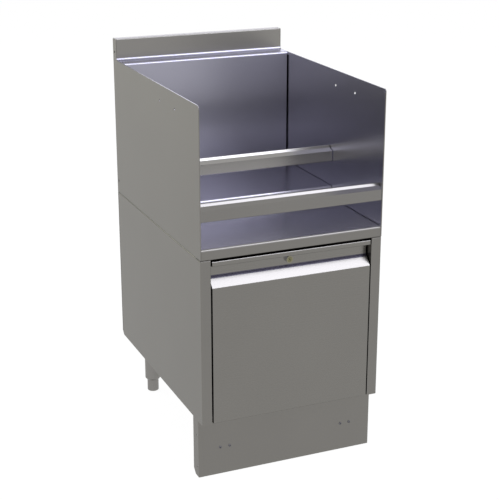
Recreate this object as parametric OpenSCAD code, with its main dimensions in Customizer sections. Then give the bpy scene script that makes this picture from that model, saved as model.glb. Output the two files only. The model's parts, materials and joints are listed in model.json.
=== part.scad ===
// Underbar storage cabinet: an open two-tier bottle station with rails, over a locking pull-out.
// Millimetres. X runs across, the front faces -Y and Z is up.
// The origin is on the floor, under the middle of the width and the depth.
// Inside front_frame() the depth is measured from the front plane, towards the back.

/* [Overall] */
// Width over the lower body
cabinet_w = 457.2; // [420:1:900]
// Depth from the front plane to the outer face of the rear sheets
cabinet_d = 609.6; // [600:1:760]
// Height of the body's underside above the floor
leg_h = 152.4; // [140:1:200]
// Height of the lower body
body_h = 406.4; // [400:1:480]
// Height of the station floor's front flange
deck_flange_h = 25.4; // [20:0.1:50]
// Height of the side panels above the station floor
station_h = 327; // [250:1:420]
// Height of the upstand above the side panels
upstand_h = 54; // [40:1:152]

/* [Sheet] */
// Thickness of the stainless sheet
sheet_t = 1.2; // [0.9:0.1:1.5]
// Outer radius of a folded edge
fold_r = 2.4; // [2:0.1:4]
// Slack between a panel and the sheet folded in beside it
fit_gap = 0.3; // [0.2:0.1:0.6]
// Width of the flattened hem along the side panels' free edges
hem_w = 8; // [6:0.5:8]
// Width of the flanges turned in at the back of the sides
rear_flange_w = 19; // [14:0.5:24]

/* [Bottle station] */
// How far the station's sides stand in from the body's sides and front
panel_inset = 0; // [0:0.1:2]
// Open joint between the body's sides and the station's side panels
seam_gap = 1.2; // [0.4:0.1:2]
// Radius of the side panels' top front corners
panel_corner_r = 6; // [3:0.5:12]
// Distance from the front plane to the rear step
tier_y = 261; // [180:1:320]
// Height of the rear step
tier_rise = 30.8; // [20:0.1:60]
// Depth of the space behind the back wall
chase_d = 76.2; // [60:0.1:120]
// Gap at each end of the back wall, under the ledge
wall_end_gap = 3; // [1:0.1:5]
// Depth of the upstand
upstand_d = 25.4; // [20:0.1:38]
// Radius of the ledge's front edge
ledge_r = 5; // [3:0.1:8]
// Radius of the cove at the foot of the upstand
cove_r = 6; // [3:0.5:14]
// Radius of the front edges of the station floor and the step
floor_edge_r = 5; // [2:0.1:8]

/* [Holes in the side panels] */
// Diameter of the holes for an accessory
accessory_hole_d = 6.35; // [4:0.05:9]
// Depth of the front accessory hole
accessory_hole_y = 151; // [60:0.1:220]
// Spacing of the two accessory holes
accessory_spacing = 101.6; // [50:0.1:150]
// Distance of the accessory holes below the panels' top edge
accessory_drop = 37.9; // [15:0.1:60]
// Diameter of the holes that join two cabinets
joining_hole_d = 6.35; // [4:0.05:8]
// Distance of the joining holes from the panels' rear edge
joining_inset = 9.8; // [6:0.1:12]
// Distance of the upper joining hole below the upstand's top
joining_drop = 34.4; // [25:0.1:45]
// Height of the lower joining hole above the station floor
joining_lift = 6.6; // [5:0.1:30]

/* [Bottle rails] */
// Clear height between a floor and the rail above it
rail_lift = 63.5; // [40:0.1:120]
// Height of a rail's upright face
rail_face_h = 27; // [25:0.1:50]
// Depth of the sloping part of a rail's top
rail_bevel_d = 13.5; // [8:0.1:25]
// Rise of the sloping part
rail_bevel_h = 6; // [4:0.1:12]
// Depth of the steep rim along a rail's top
rail_rim_d = 4; // [3.5:0.1:8]
// Rise of the rim
rail_rim_h = 6; // [4:0.1:9]
// Radius of the hollow fold between a rail's slope and its rim
rail_fold_r = 1; // [0.5:0.1:3]
// Height of the leg turned down behind a rail
rail_leg_h = 12; // [6:0.1:18]
// Depth of the flange under a rail
rail_foot_d = 18; // [16:0.1:24]
// Distance of the lower rail behind the panels' front edge
rail_setback = 1; // [0.5:0.1:6]
// Height of the rivets above a rail's underside
rail_rivet_z = 13.5; // [8:0.1:20]
// Depth of the front rivet behind a rail's face
rail_rivet_y = 11.3; // [11:0.1:20]
// Spacing of the two rivets at each end
rail_rivet_spacing = 25.4; // [15:0.1:40]
// Diameter of the rail rivets
rivet_d = 3.2; // [2.4:0.1:4.8]

/* [Lower body] */
// Width of the front stiles
stile_w = 25.4; // [18:0.1:50]
// Outer radius of the stiles' edges
stile_r = 2; // [2:0.1:5]
// Outer radius of the body's top edges
body_top_r = 3.2; // [2:0.1:5]
// Depth of the jambs turned in from the stiles
jamb_d = 30; // [15:0.5:38]
// Width of the flanges along the top of the body's sides
top_flange_w = 16; // [12:0.5:24]
// Height of the flanges of the bottom pan
pan_flange_h = 25; // [15:0.5:40]
// Size of the cut at the lower rear corners of the sides
corner_cut = 9; // [5:0.5:15]
// Depth of the header behind the pull-out's top
header_d = 46; // [30:0.5:70]
// Height of the header's rear leg
header_leg_h = 25; // [15:0.5:40]

/* [Pull-out front] */
// Thickness of the pull-out's front
front_t = 41.3; // [36:0.1:44]
// Gap above the front
front_top_gap = 5.2; // [3:0.1:10]
// Gap at each side of the front
front_side_gap = 3.2; // [2:0.1:6]
// Gap between the front's lower edge and the body's underside
front_base_gap = 0.8; // [0.5:0.1:5]
// Gap between the front and what lies behind it
front_back_gap = 2.3; // [1.5:0.1:5]
// Height of the lip over the finger recess
lip_h = 11.7; // [8:0.1:20]
// Depth of the finger recess
recess_d = 22; // [15:0.1:26]
// Height of the recess's upright face
recess_h = 28.3; // [27:0.1:40]
// Height of the slope under the recess
slope_h = 23.4; // [10:0.1:50]
// Radius of the folds in the recess
recess_r = 2; // [2:0.1:5]

/* [Bottle drawer] */
// Length of the drawer box and of its slides
box_l = 500; // [420:5:530]
// Clear height between the drawer box and the lock
box_clear = 35; // [20:1:80]
// Height of the box above the body's underside
box_lift = 14; // [12:0.5:30]
// Width of the rim turned in at the top of the box
box_rim_w = 12; // [8:0.5:20]
// Corner radius of the box
box_corner_r = 5; // [3:0.5:12]
// Diameter of the screws that hold the box to the front
box_screw_d = 5; // [4:0.1:6]

/* [Ball slides] */
// Height of the slides' centre above the body's underside
slide_z = 165; // [80:1:220]
// Distance of the slides inside the stiles' inner edges
slide_clear = 1.2; // [1:0.1:4]
// Thickness of a whole slide
slide_w = 12.7; // [12.7:0.1:14]
// Height of the outer member
slide_h = 45.7; // [44:0.1:50]
// Thickness of the members' strip
slide_t = 1.2; // [1:0.1:1.3]
// Diameter of the balls between the outer and middle members
outer_ball_d = 4.6; // [4.4:0.1:4.8]
// Diameter of the balls between the middle and inner members
inner_ball_d = 3.8; // [3.6:0.1:4]
// Spacing of the balls along a cage
ball_pitch = 40; // [25:1:44]
// Balls in each row
ball_count = 6; // [4:1:6]
// Thickness of the cages' strip
cage_t = 0.6; // [0.4:0.1:0.6]

/* [Lock] */
// Distance of the lock from the middle, to the right
lock_x = -2.4; // [-60:0.1:60]
// Height of the lock's centre above the foot of the recess's upright face
lock_lift = 15.2; // [13:0.1:17]
// Diameter of the lock's head
lock_head_d = 16.6; // [16.2:0.1:20]
// How far the head stands out of the recess
lock_head_l = 8; // [3:0.1:12]
// Diameter of the threaded barrel
lock_barrel_d = 15.8; // [14:0.1:16]
// Diameter of the turning plug
lock_plug_d = 10.8; // [9:0.1:12]
// Reach of the cam from the lock's axis
cam_reach = 22; // [18:0.1:23]
// Width of the cam
cam_w = 13; // [11:0.1:15]
// Thickness of the cam
cam_t = 2.5; // [1.5:0.1:3]

/* [Kick plate] */
// Distance of the kick plate behind the front plane
kick_recess = 31; // [26:0.1:40]
// How far the kick plate stands in from each side
kick_inset = 1.2; // [0.5:0.1:5]
// Gap under the kick plate
kick_floor_gap = 1.5; // [1:0.1:12]
// Gap between the kick plate and the body
kick_top_gap = 1.4; // [1:0.1:5]
// Depth of the kick plate's side flanges
kick_flange_d = 34; // [28:0.1:60]
// Distance of the flange holes behind the kick plate's face
kick_hole_y = 10; // [8:0.1:16]
// Height of the lower flange hole above the floor
kick_hole_z = 28; // [18:0.1:40]
// Spacing of the flange holes
kick_hole_spacing = 82; // [50:0.1:90]
// Diameter of the flange holes
kick_hole_d = 4.8; // [3:0.1:6]
// Height of the clip screws above the floor
clip_z = 71.5; // [60:0.1:90]
// Distance of a clip's middle from the side of the cabinet
clip_inset = 68.6; // [60:0.1:75]
// Spacing of a clip's two screws
clip_screw_spacing = 24; // [16:0.1:28]

/* [Legs] */
// Diameter of the leg tubes
leg_d = 41.3; // [38:0.1:44]
// Wall of the leg tubes
leg_wall = 1.5; // [1.2:0.1:2]
// Distance of the legs from the cabinet's sides
leg_inset_x = 60.3; // [55:0.1:75]
// Distance of the legs from the front and the back
leg_inset_y = 68.3; // [68:0.1:90]
// Height of the bush's lower end above the floor
leg_foot_z = 36; // [30:0.5:40]
// Diameter of the bullet feet
foot_d = 30.5; // [28:0.1:32]
// Diameter of the feet's threaded stems
foot_stem_d = 12; // [10:0.1:16]
// Diameter of the leg flanges
leg_flange_d = 68; // [66:0.5:70]
// Thickness of the leg flanges
leg_flange_t = 3.2; // [2.5:0.1:4]
// Diameter of the circle of the flange bolts
leg_bolt_circle = 54; // [52.5:0.1:55]
// Diameter of the flange bolts
leg_bolt_d = 6; // [4:0.1:6]

/* [Hidden] */
$fn = 64;
steel = "#a9aaa8";
dark_steel = "#7d7f80";
bright_steel = "#c3c5c8";
brass = "#b3a262";
fold_steps = 5;
cut = 1;
run_gap = 0.3;
shaft_gap = 0.06;

half_w = cabinet_w / 2;
seam_z = leg_h + body_h;
deck_z = seam_z + deck_flange_h;
tier_z = deck_z + tier_rise;
panel_top_z = deck_z + station_h;
top_z = panel_top_z + upstand_h;

// Flush countersunk screws hold the rear sheets
rear_screw_d = 4;
rear_head_d = rear_screw_d + 2 * sheet_t;
rear_screw_end = 60;
rear_y = cabinet_d;
flange_y = rear_y - sheet_t;

// The bottle station
panel_x = half_w - panel_inset;
panel_inner_x = panel_x - sheet_t;
floor_x = panel_inner_x - sheet_t - fit_gap;
panel_foot_z = seam_z + seam_gap;
wall_y = cabinet_d - chase_d;
upstand_y = cabinet_d - upstand_d;
upstand_leg_h = 16;
foot_flange_w = 16;
deck_return_w = 18;
deck_rear_leg_h = 19;
deck_rear_y = flange_y - sheet_t - fit_gap;
joining_y = flange_y - joining_inset;

// A rail's end tabs and rivets
rail_tab_y = hem_w + fit_gap;
rail_tab_end = rail_rivet_y + rail_rivet_spacing + 7;
rail_tab_h = 24;
rivet_head_d = 7;
rivet_sunk_d = rivet_d + 2 * sheet_t;
rivet_head_h = 0.4;
rail_land_d = 4;

// The pull-out's front
front_x = half_w - stile_w - front_side_gap;
front_top_z = seam_z - front_top_gap;
front_foot_z = leg_h + front_base_gap;
recess_top_z = front_top_z - lip_h;
recess_foot_z = recess_top_z - recess_h;
slope_foot_z = recess_foot_z - slope_h;
behind_front_y = front_t + front_back_gap;

// The slides, in distances from the mounting face towards the drawer
slide_l = box_l;
slide_x = half_w - stile_w - slide_clear;
box_x = slide_x - slide_w;
slide_mid_z = leg_h + slide_z;
slide_y = behind_front_y + 6;
bracket_y = behind_front_y + 2;
bracket_h = slide_h + 10;
bracket_foot_h = 12;
bracket_l = slide_l + 30;
member_fold_r = 2;
outer_top = slide_h / 2;
outer_lip_s = slide_w - 1.5;
outer_lip_h = 3.2;
race_depth = 0.4;
middle_s = slide_t + 1.3;
middle_top = outer_top - slide_t - outer_ball_d - 2 * run_gap + 2 * race_depth;
middle_depth = 8.1;
inner_top = middle_top - slide_t - inner_ball_d - 2 * run_gap + 2 * race_depth;
inner_tip_s = middle_s + slide_t + 2 * run_gap + cage_t;
outer_ball_s = 5.6;
inner_ball_s = 8.4;
outer_ball_z = (outer_top - slide_t + middle_top) / 2;
inner_ball_z = (middle_top - slide_t + inner_top) / 2;
cage_l = ball_count * ball_pitch;
cage_y = slide_y + (slide_l - cage_l) / 2;
slide_screw_d = 4;
slide_screw_head_d = 7.4;
slide_screw_head_h = 0.9;
slide_screw_inset = 40;

// The drawer box
box_y = front_t;
box_z = leg_h + box_lift;
box_screw_x = 120;
box_screw_inset = 60;
box_screw_head_h = 3;
rim_relief = 3;

// The lock and its strike
lock_z = recess_foot_z + lock_lift;
box_h = lock_z - lock_barrel_d / 2 - box_clear - box_z;
strike_t_gap = 1.5;
strike_y = behind_front_y;
cam_y = strike_y + sheet_t + strike_t_gap;
strike_z = lock_z + lock_barrel_d / 2 + 3.4;
header_z = seam_z - sheet_t;
lock_nut_d = 22;
lock_nut_h = 3;
plug_proud = 0.5;
keyway_w = 1.4;
keyway_h = 6.5;
keyway_depth = 5;
cam_screw_d = 5;
cam_screw_head_d = 9;
cam_screw_head_h = 2.6;
cam_screw_l = 10;

// The kick plate and its clips
kick_x = half_w - kick_inset;
kick_notch = 12;
clip_plate_w = 44;
clip_plate_h = 30;
clip_screw_d = 3.9;
clip_head_d = 6.8;
clip_head_h = 1.9;
clip_screw_l = 6;
clip_mouth = 28;

// The legs
leg_x = half_w - leg_inset_x;
leg_front_y = leg_inset_y;
leg_rear_y = cabinet_d - leg_inset_y;
leg_top_z = leg_h - leg_flange_t;
leg_inner_r = leg_d / 2 - leg_wall;
bush_taper_h = 4.5;
bush_rim_h = 0.5;
bush_lip = 1.9;
bush_recess_h = 34;
bush_web_h = 10;
tube_z = leg_foot_z + bush_taper_h + bush_rim_h;
foot_body_h = leg_foot_z + 26;
foot_stem_l = 48;
foot_edge_r = 6;
foot_dome_h = 1.2;
spigot_l = 25;
spigot_wall = 3;
bolt_head_h = 4;
bolt_head_d = 10;
nut_h = 4.5;
bolt_tail = 2;

// Outlines of folded sheet

function unit(v) = v / norm(v);
function left_of(v) = [-v[1], v[0]];
function turned(v, angle) = [v[0] * cos(angle) - v[1] * sin(angle), v[0] * sin(angle) + v[1] * cos(angle)];
function reversed(line) = [for (i = [len(line) - 1 : -1 : 0]) line[i]];

// The arc that rounds corner b on the way from a to c
function corner(a, b, c, r) =
    let (u = unit(a - b), w = unit(c - b), half = acos(u * w) / 2,
         centre = b + unit(u + w) * r / sin(half),
         arm = b + u * r / tan(half) - centre,
         sweep = (cross(b - a, c - b) > 0 ? 1 : -1) * (180 - 2 * half))
    [for (i = [0 : fold_steps]) centre + turned(arm, sweep * i / fold_steps)];

// A run of points with each corner rounded by its own radius
function eased(points, radii) =
    let (n = len(points))
    [for (i = [0 : n - 1])
        each radii[i] == 0 ? [points[i]]
            : corner(points[(i + n - 1) % n], points[i], points[(i + 1) % n], radii[i])];

// The same run moved by t to the right of its direction
function beside(line, t) =
    let (n = len(line))
    [for (i = [0 : n - 1])
        let (before = unit(i == 0 ? line[1] - line[0] : line[i] - line[i - 1]),
             after = unit(i == n - 1 ? line[i] - line[i - 1] : line[i + 1] - line[i]))
        line[i] - (left_of(before) + left_of(after)) * t / (1 + before * after)];

// The outline of a sheet whose outer face follows the points
function folded(points, radii, t = sheet_t) =
    let (line = eased(points, radii))
    concat(line, reversed(beside(line, t)));

// Frames that the pieces are drawn in

module front_frame() {
    translate([0, -cabinet_d / 2, 0])
        children();
}

// The right-hand form for side 1 and its mirror image for side -1
module handed(side) {
    if (side < 0)
        mirror([1, 0, 0])
            children();
    else
        children();
}

// An outline in Y and Z, drawn from x0 to x1
module across(x0, x1) {
    translate([x0, 0, 0])
        rotate([90, 0, 90])
            linear_extrude(x1 - x0)
                children();
}

// An outline in X and Z, drawn from y0 to y1
module rearward(y0, y1) {
    translate([0, y1, 0])
        rotate([90, 0, 0])
            linear_extrude(y1 - y0)
                children();
}

// An outline in X and Y, drawn from z0 to z1
module upright(z0, z1) {
    translate([0, 0, z0])
        linear_extrude(z1 - z0)
            children();
}

module block(low, high) {
    translate(low)
        cube(high - low);
}

// A round bar along X from x0 to x1
module bar_x(x0, x1, y, z, d) {
    translate([x0, y, z])
        rotate([0, 90, 0])
            cylinder(d = d, h = x1 - x0);
}

// A round bar along Y from y0 to y1
module bar_y(x, y0, y1, z, d) {
    translate([x, y1, z])
        rotate([90, 0, 0])
            cylinder(d = d, h = y1 - y0);
}

// The bottle station

panel_outline = eased(
    [[panel_inset, panel_foot_z], [panel_inset, panel_top_z], [upstand_y, panel_top_z], [upstand_y, top_z],
     [flange_y, top_z], [flange_y, panel_foot_z]],
    [0, panel_corner_r, cove_r, fold_r, fold_r, 0]);

module panel_holes() {
    for (i = [0, 1])
        bar_x(panel_inner_x - cut, panel_x + cut, accessory_hole_y + i * accessory_spacing,
              panel_top_z - accessory_drop, accessory_hole_d);
    for (z = [top_z - joining_drop, deck_z + joining_lift])
        bar_x(panel_inner_x - cut, panel_x + cut, joining_y, z, joining_hole_d);
}

module side_panel(side) {
    front_frame()
        handed(side)
            difference() {
                union() {
                    across(panel_inner_x, panel_x)
                        polygon(panel_outline);
                    block([panel_inner_x - sheet_t, panel_inset, panel_foot_z],
                          [panel_inner_x, panel_inset + hem_w, panel_top_z - hem_w - fit_gap]);
                    block([panel_inner_x - sheet_t, panel_inset + panel_corner_r, panel_top_z - hem_w],
                          [panel_inner_x, wall_y - sheet_t, panel_top_z]);
                    block([panel_x - rear_flange_w, flange_y - sheet_t, panel_foot_z],
                          [panel_x, flange_y, top_z - upstand_leg_h - fold_r]);
                }
                panel_holes();
                rail_rivet_places()
                    sunk_hole(rivet_sunk_d, rivet_d);
                rear_screw_places()
                    cylinder(d = rear_screw_d + 2 * shaft_gap, h = 2 * sheet_t + cut);
            }
}

module side_panel_left() {
    color(steel)
        side_panel(-1);
}

module side_panel_right() {
    color(steel)
        side_panel(1);
}

module deck_pan() {
    color(steel)
        front_frame()
            across(-floor_x, floor_x)
                polygon(folded(
                    [[panel_inset + deck_return_w, seam_z], [panel_inset, seam_z], [panel_inset, deck_z],
                     [deck_rear_y, deck_z], [deck_rear_y, deck_z - deck_rear_leg_h]],
                    [0, fold_r, floor_edge_r, fold_r, 0]));
}

module rear_step() {
    color(steel)
        front_frame()
            across(-floor_x, floor_x)
                polygon(folded(
                    [[tier_y + foot_flange_w, deck_z], [tier_y, deck_z], [tier_y, tier_z],
                     [wall_y + foot_flange_w, tier_z], [wall_y + foot_flange_w, deck_z]],
                    [0, fold_r, floor_edge_r, fold_r, 0]));
}

module back_splash() {
    half = panel_inner_x - fit_gap;
    color(steel)
        front_frame()
            difference() {
                across(-half, half)
                    polygon(folded(
                        [[wall_y + foot_flange_w, tier_z], [wall_y, tier_z], [wall_y, panel_top_z],
                         [upstand_y, panel_top_z], [upstand_y, top_z],
                         [flange_y, top_z], [flange_y, top_z - upstand_leg_h]],
                        [0, fold_r, ledge_r, cove_r, fold_r, fold_r, 0]));
                for (side = [-1, 1])
                    handed(side)
                        block([panel_inner_x - wall_end_gap, wall_y - cut, tier_z - cut],
                              [panel_inner_x + cut, wall_y + foot_flange_w + cut,
                               panel_top_z - ledge_r - fold_r]);
            }
}

module rear_cover() {
    color(steel)
        front_frame()
            difference() {
                block([-panel_x, flange_y, panel_foot_z], [panel_x, rear_y, top_z - fold_r]);
                for (side = [-1, 1])
                    handed(side)
                        rear_screw_places()
                            sunk_hole(rear_head_d, rear_screw_d);
            }
}

// Rails that keep the bottles on their floors

module rail(face_y, floor_z) {
    z = floor_z + rail_lift;
    top = rail_face_h + rail_bevel_h + rail_rim_h;
    rim_y = rail_bevel_d + rail_rim_d;
    depth = rim_y + rail_land_d;
    translate([0, face_y, z])
        difference() {
            union() {
                across(-floor_x, floor_x)
                    polygon(folded(
                        [[rail_foot_d, 0], [0, 0], [0, rail_face_h], [rail_bevel_d, rail_face_h + rail_bevel_h],
                         [rim_y, top], [depth, top], [depth, top - rail_leg_h]],
                        [0, fold_r, 0, rail_fold_r, fold_r, fold_r, 0]));
                block([-panel_inner_x, rail_tab_y, 0], [panel_inner_x, rail_foot_d, sheet_t]);
                for (side = [-1, 1])
                    handed(side)
                        block([panel_inner_x - sheet_t, rail_tab_y, 0],
                              [panel_inner_x, rail_tab_end, rail_tab_h]);
            }
            for (side = [-1, 1], i = [0, 1])
                handed(side)
                    bar_x(panel_inner_x - sheet_t - cut, panel_inner_x + cut,
                          rail_rivet_y + i * rail_rivet_spacing, rail_rivet_z, rivet_d + 2 * shaft_gap);
        }
}

lower_rail_y = panel_inset + rail_setback;

module upper_rail() {
    color(steel)
        front_frame()
            rail(tier_y, tier_z);
}

module lower_rail() {
    color(steel)
        front_frame()
            rail(lower_rail_y, deck_z);
}

// Places of the rivets on the right-hand panel's outer face, each pointing into the cabinet
module rail_rivet_places() {
    for (place = [[lower_rail_y, deck_z], [tier_y, tier_z]], i = [0, 1])
        translate([panel_x, place[0] + rail_rivet_y + i * rail_rivet_spacing,
                   place[1] + rail_lift + rail_rivet_z])
            rotate([0, -90, 0])
                children();
}

module rail_rivets() {
    color(steel)
        front_frame()
            for (side = [-1, 1])
                handed(side)
                    rail_rivet_places() {
                        cylinder(d1 = rivet_sunk_d, d2 = rivet_d, h = sheet_t);
                        cylinder(d = rivet_d, h = 2 * sheet_t);
                        translate([0, 0, 2 * sheet_t])
                            cylinder(d = rivet_head_d, h = rivet_head_h);
                    }
}

// The lower body

body_plan = eased(
    [[half_w - rear_flange_w, flange_y], [half_w, flange_y], [half_w, 0],
     [half_w - stile_w, 0], [half_w - stile_w, jamb_d]],
    [0, fold_r, stile_r, stile_r, 0]);

module body_side(side) {
    front_frame()
        handed(side)
            difference() {
                union() {
                    upright(leg_h, seam_z - body_top_r)
                        polygon(concat(body_plan, reversed(beside(body_plan, sheet_t))));
                    intersection() {
                        upright(leg_h, seam_z)
                            polygon(body_plan);
                        union() {
                            rearward(jamb_d - cut, flange_y - sheet_t)
                                polygon(folded(
                                    [[half_w - top_flange_w, seam_z], [half_w, seam_z],
                                     [half_w, seam_z - top_flange_w]],
                                    [0, body_top_r, 0]));
                            across(half_w - stile_w, half_w)
                                polygon(folded(
                                    [[0, seam_z - top_flange_w], [0, seam_z], [jamb_d, seam_z]],
                                    [0, body_top_r, 0]));
                            rearward(0, jamb_d)
                                polygon(folded(
                                    [[half_w - stile_w, seam_z], [half_w, seam_z],
                                     [half_w, seam_z - top_flange_w]],
                                    [0, body_top_r, 0]));
                        }
                    }
                }
                translate([0, flange_y, leg_h])
                    rotate([45, 0, 0])
                        block([0, -corner_cut * sqrt(2), -corner_cut / sqrt(2)],
                              [half_w + cut, corner_cut * sqrt(2), corner_cut / sqrt(2)]);
                rear_screw_places()
                    cylinder(d = rear_screw_d + 2 * shaft_gap, h = 2 * sheet_t + cut);
            }
}

module body_side_left() {
    color(steel)
        body_side(-1);
}

module body_side_right() {
    color(steel)
        body_side(1);
}

module body_back() {
    color(steel)
        front_frame()
            difference() {
                block([-panel_x, flange_y, leg_h + corner_cut], [panel_x, rear_y, seam_z]);
                for (side = [-1, 1])
                    handed(side)
                        rear_screw_places()
                            sunk_hole(rear_head_d, rear_screw_d);
            }
}

// Heights of the rear screws up each side
rear_screw_heights = [leg_h + rear_screw_end, leg_h + body_h / 2, seam_z - rear_screw_end,
    seam_z + rear_screw_end, (seam_z + top_z) / 2, top_z - rear_screw_end];
rear_screw_x = half_w - rear_flange_w / 2 - panel_inset;

// Places of the right-hand side's screws on the rear face, each pointing into the cabinet
module rear_screw_places() {
    for (z = rear_screw_heights)
        translate([rear_screw_x, rear_y, z])
            rotate([90, 0, 0])
                children();
}

// A hole countersunk through the thickness of the sheet
module sunk_hole(head_d, d) {
    translate([0, 0, -cut])
        cylinder(d1 = head_d + 2 * cut + 2 * shaft_gap, d2 = d + 2 * shaft_gap, h = sheet_t + cut);
    cylinder(d = d + 2 * shaft_gap, h = sheet_t + cut);
}

module rear_screws() {
    color(bright_steel)
        front_frame()
            for (side = [-1, 1])
                handed(side)
                    rear_screw_places() {
                        cylinder(d1 = rear_head_d, d2 = rear_screw_d, h = sheet_t);
                        cylinder(d = rear_screw_d, h = 2 * sheet_t + rear_screw_d);
                    }
}

module body_bottom() {
    half = half_w - sheet_t - fit_gap;
    color(steel)
        front_frame()
            difference() {
                rearward(behind_front_y, flange_y - fold_r - fit_gap)
                    polygon(folded(
                        [[half, leg_h + pan_flange_h], [half, leg_h], [-half, leg_h], [-half, leg_h + pan_flange_h]],
                        [0, fold_r, fold_r, 0]));
                leg_bolt_places()
                    translate([0, 0, leg_h - cut])
                        cylinder(d = leg_bolt_d + 2 * shaft_gap, h = sheet_t + 2 * cut);
            }
}

// Channel across the front of the body, whose front leg is the lock's strike
module header() {
    half = half_w - body_top_r - fit_gap;
    color(steel)
        front_frame()
            across(-half, half)
                polygon(folded(
                    [[strike_y, strike_z], [strike_y, header_z], [strike_y + header_d, header_z],
                     [strike_y + header_d, header_z - header_leg_h]],
                    [0, fold_r, fold_r, 0]));
}

// The pull-out's front

front_line = eased(
    [[front_t, front_foot_z], [0, front_foot_z], [0, slope_foot_z], [recess_d, recess_foot_z],
     [recess_d, recess_top_z], [0, recess_top_z], [0, front_top_z], [front_t, front_top_z]],
    [0, fold_r, recess_r, recess_r, recess_r, fold_r, fold_r, 0]);

module drawer_front() {
    color(steel)
        front_frame()
            difference() {
                across(-front_x, front_x)
                    polygon(concat(front_line, reversed(beside(front_line, sheet_t))));
                bar_y(lock_x, 0, front_t, lock_z, lock_barrel_d + 2 * shaft_gap);
            }
}

// Back sheet and end cheeks that close the front
module drawer_liner() {
    side_x = front_x - sheet_t;
    color(steel)
        front_frame()
            difference() {
                union() {
                    block([-side_x, front_t - sheet_t, front_foot_z + sheet_t + fit_gap],
                          [side_x, front_t, front_top_z - sheet_t - fit_gap]);
                    for (side = [-1, 1])
                        handed(side)
                            across(side_x - sheet_t, side_x)
                                polygon(beside(front_line, sheet_t + fit_gap));
                }
                bar_y(lock_x, front_t - sheet_t - cut, front_t + cut, lock_z, lock_barrel_d + 2 * fit_gap);
                box_screw_places()
                    bar_y(0, -sheet_t - cut, cut, 0, box_screw_d + 2 * shaft_gap);
            }
}

// The bottle drawer

function box_plan(inset) =
    let (x = box_x - inset, y0 = box_y + inset, y1 = box_y + box_l - inset, r = max(box_corner_r - inset, 1))
    eased([[-x, y0], [x, y0], [x, y1], [-x, y1]], [r, r, r, r]);

// Squares that keep the rim's four flanges apart at the corners
module box_corner_reliefs() {
    for (x = [-box_x, box_x], y = [box_y, box_y + box_l])
        translate([x, y])
            square(2 * (box_rim_w + rim_relief), center = true);
}

module drawer_box() {
    color(steel)
        front_frame()
            difference() {
                upright(box_z, box_z + box_h)
                    polygon(box_plan(0));
                upright(box_z + sheet_t, box_z + box_h - sheet_t)
                    polygon(box_plan(sheet_t));
                upright(box_z + box_h - 2 * sheet_t, box_z + box_h + cut) {
                    polygon(box_plan(box_rim_w));
                    intersection() {
                        polygon(box_plan(sheet_t));
                        box_corner_reliefs();
                    }
                }
                box_screw_places()
                    bar_y(0, -cut, sheet_t + cut, 0, box_screw_d + 2 * shaft_gap);
                for (side = [-1, 1])
                    handed(side)
                        slide_screw_places()
                            bar_x(box_x - sheet_t - cut, box_x + cut, 0, 0, slide_screw_d + 2 * shaft_gap);
            }
}

// Places on the plane between the front and the box
module box_screw_places() {
    for (x = [-box_screw_x, box_screw_x], z = [box_z + box_screw_inset, box_z + box_h - box_screw_inset])
        translate([x, front_t, z])
            children();
}

module box_screws() {
    color(bright_steel)
        front_frame()
            box_screw_places() {
                bar_y(0, -sheet_t - box_screw_d, sheet_t, 0, box_screw_d);
                bar_y(0, sheet_t, sheet_t + box_screw_head_h, 0, 2 * box_screw_d);
            }
}

// The ball slides

// An outline in distance from the mounting face and height, drawn along a slide
module member(y0, y1) {
    translate([slide_x, 0, slide_mid_z])
        mirror([1, 0, 0])
            rearward(y0, y1)
                children();
}

module race(s, z, d) {
    for (up = [-1, 1])
        member(slide_y - cut, slide_y + slide_l + cut)
            translate([s, up * z])
                circle(d = d + 2 * run_gap);
}

module slide_screw_places() {
    for (y = [slide_y + slide_screw_inset, slide_y + slide_l / 2, slide_y + slide_l - slide_screw_inset])
        translate([0, y, slide_mid_z])
            children();
}

module slide_bracket(side) {
    seat = slide_x + sheet_t;
    foot = half_w - sheet_t;
    top = bracket_h / 2;
    front_frame()
        handed(side)
            difference() {
                rearward(bracket_y, bracket_y + bracket_l)
                    translate([0, slide_mid_z])
                        polygon(folded(
                            [[foot, top + bracket_foot_h], [foot, top], [seat, top],
                             [seat, -top], [foot, -top], [foot, -top - bracket_foot_h]],
                            [0, fold_r, sheet_t, sheet_t, fold_r, 0]));
                slide_screw_places()
                    bar_x(slide_x - cut, seat + cut, 0, 0, slide_screw_d + 2 * shaft_gap);
            }
}

// C section whose faces lie at s0 and at a height of top, with arms that reach s1
module channel(s0, s1, top, t, lip) {
    turn = s1 > s0 ? 1 : -1;
    r = min(member_fold_r, t + 0.8);
    ends = lip > 0 ? [[s1, top - lip]] : [];
    line = concat(ends, [[s1, top], [s0, top], [s0, -top], [s1, -top]],
                  lip > 0 ? [[s1, lip - top]] : []);
    radii = lip > 0 ? [0, r, r, r, r, 0] : [0, r, r, 0];
    polygon(folded(line, radii, -turn * t));
}

module slide_outer(side) {
    front_frame()
        handed(side)
            difference() {
                member(slide_y, slide_y + slide_l)
                    channel(0, outer_lip_s, outer_top, slide_t, outer_lip_h);
                race(outer_ball_s, outer_ball_z, outer_ball_d);
                slide_screw_places() {
                    bar_x(slide_x - slide_t - cut, slide_x + cut, 0, 0, slide_screw_d + 2 * shaft_gap);
                    bar_x(slide_x - slide_t - cut, slide_x - slide_t + slide_screw_head_h, 0, 0,
                          slide_screw_head_d + 2 * shaft_gap);
                }
            }
}

module slide_middle(side) {
    front_frame()
        handed(side)
            difference() {
                member(slide_y, slide_y + slide_l)
                    channel(middle_s, middle_s + middle_depth, middle_top, slide_t, 0);
                race(outer_ball_s, outer_ball_z, outer_ball_d);
                race(inner_ball_s, inner_ball_z, inner_ball_d);
            }
}

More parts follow.
